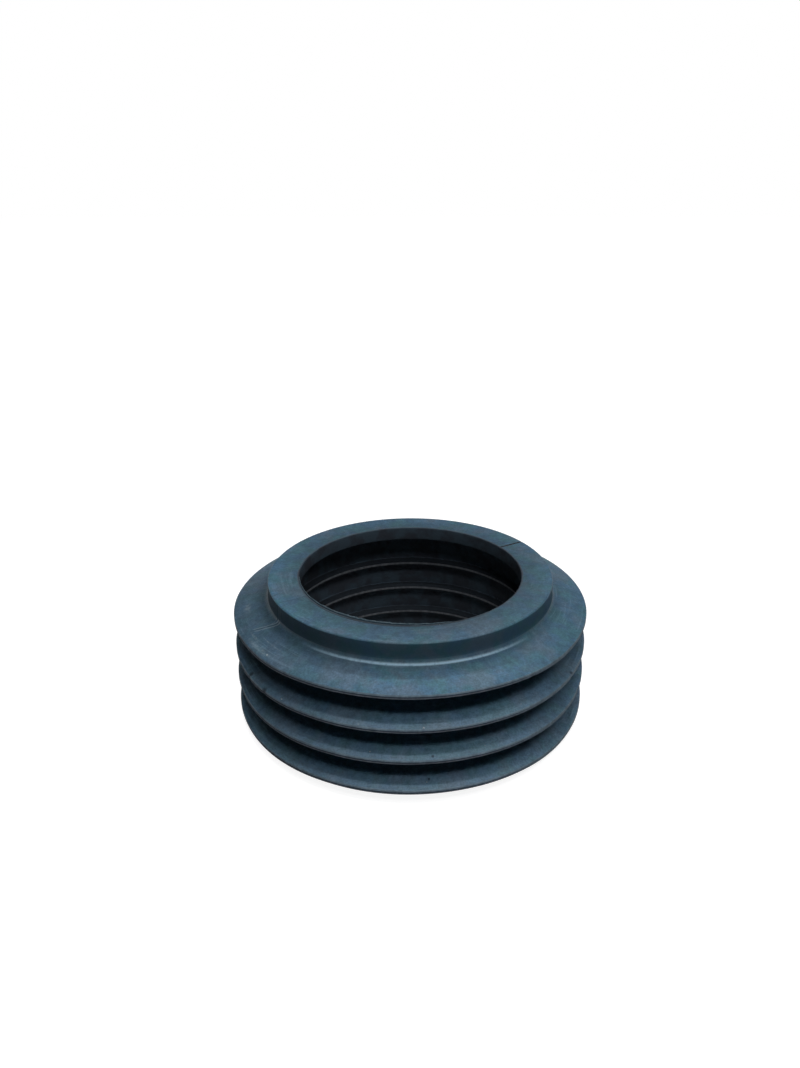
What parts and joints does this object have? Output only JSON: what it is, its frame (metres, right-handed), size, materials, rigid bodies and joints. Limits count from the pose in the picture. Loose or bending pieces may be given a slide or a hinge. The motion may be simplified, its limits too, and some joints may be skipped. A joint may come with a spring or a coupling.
{
  "type": "cistern inlet seal",
  "caption": "Black rubber inlet seal for a toilet flush pipe: a short tube with drooping sealing fins outside, grip ribs inside and an inward lip at the nose that stops the pipe.",
  "frame": {"origin": "centre of the foot face, on the tube's axis", "axes": "+Z along the tube's axis, from the foot to the nose that goes into the inlet first; X and Y are any pair square to it"},
  "size_m": [0.06, 0.06, 0.0237],
  "materials": {
    "rubber": "satin"
  },
  "bodies": {
    "root": {"seal": "rubber"}
  },
  "joints": []
}
